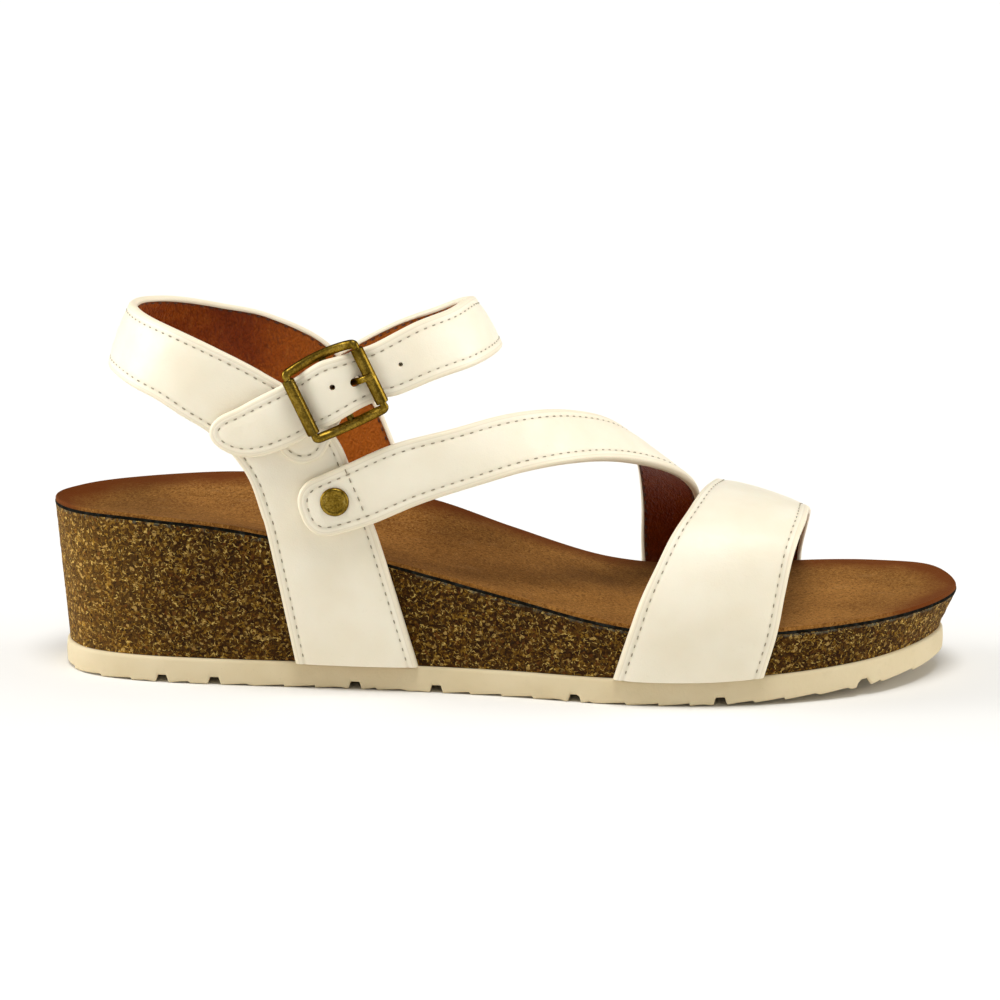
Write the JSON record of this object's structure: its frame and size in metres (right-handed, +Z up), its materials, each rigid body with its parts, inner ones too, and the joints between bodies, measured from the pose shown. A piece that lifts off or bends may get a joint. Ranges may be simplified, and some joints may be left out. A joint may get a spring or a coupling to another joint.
{
  "type": "wedge sandal",
  "caption": "Right-foot wedge sandal with a cork wedge, moulded outsole, covered footbed, padded toe, instep and ankle straps, and a roller buckle.",
  "frame": {"origin": "bottom centre of the sandal's box, on the ground plane", "axes": "+X from heel to toe, +Y towards the inner (big toe) side, +Z up"},
  "size_m": [0.256, 0.0925, 0.1087],
  "materials": {
    "outsole": "matte moulded foam rubber, cream",
    "cork": "pressed cork granulate, matte",
    "board": "black edge ink",
    "footbed": "brown suede, nubuck nap",
    "strap_leather": "off-white smooth leather, semi-matte",
    "strap_foam": "thin padding foam",
    "lining_leather": "chestnut lining leather, fine grain",
    "antique_brass": "antiqued brass, brushed",
    "thread": "twisted sewing thread"
  },
  "bodies": {
    "root": {"outsole": "outsole", "cork_wedge": "cork", "insole_board": "board", "footbed_cover": "footbed", "toe_strap_outer": "strap_leather", "toe_strap_foam": "strap_foam", "toe_strap_lining": "lining_leather", "instep_strap_outer": "strap_leather", "instep_strap_foam": "strap_foam", "instep_strap_lining": "lining_leather", "heel_quarter_outer": "strap_leather", "heel_quarter_foam": "strap_foam", "heel_quarter_lining": "lining_leather", "ankle_strap_outer": "strap_leather", "ankle_strap_foam": "strap_foam", "ankle_strap_lining": "lining_leather", "buckle_tab": "strap_leather", "rivet_cap": "antique_brass", "rivet_post": "antique_brass"},
    "buckle": {"buckle_frame": "antique_brass"},
    "rear_roller": {"buckle_roller_rear": "antique_brass"},
    "front_roller": {"buckle_roller_front": "antique_brass"},
    "prong": {"buckle_prong": "antique_brass"}
  },
  "joints": [
    {"name": "buckle_rock", "type": "hinge", "parent": "root", "child": "buckle", "pos_m": [-0.0425, -0.0372, 0.0875], "axis": [0.4305, 0, -0.9026], "range_deg": [-2, 2]},
    {"name": "prong_lift", "type": "hinge", "parent": "buckle", "child": "prong", "pos_m": [-0.0425, -0.0372, 0.0875], "axis": [0.4305, 0, -0.9026], "range_deg": [0, 6]},
    {"name": "rear_roller_spin", "type": "hinge", "parent": "buckle", "child": "rear_roller", "pos_m": [-0.05198, -0.041, 0.08298], "axis": [0.4305, 0, -0.9026], "continuous": true},
    {"name": "front_roller_spin", "type": "hinge", "parent": "buckle", "child": "front_roller", "pos_m": [-0.03302, -0.041, 0.09202], "axis": [0.4305, 0, -0.9026], "continuous": true}
  ]
}
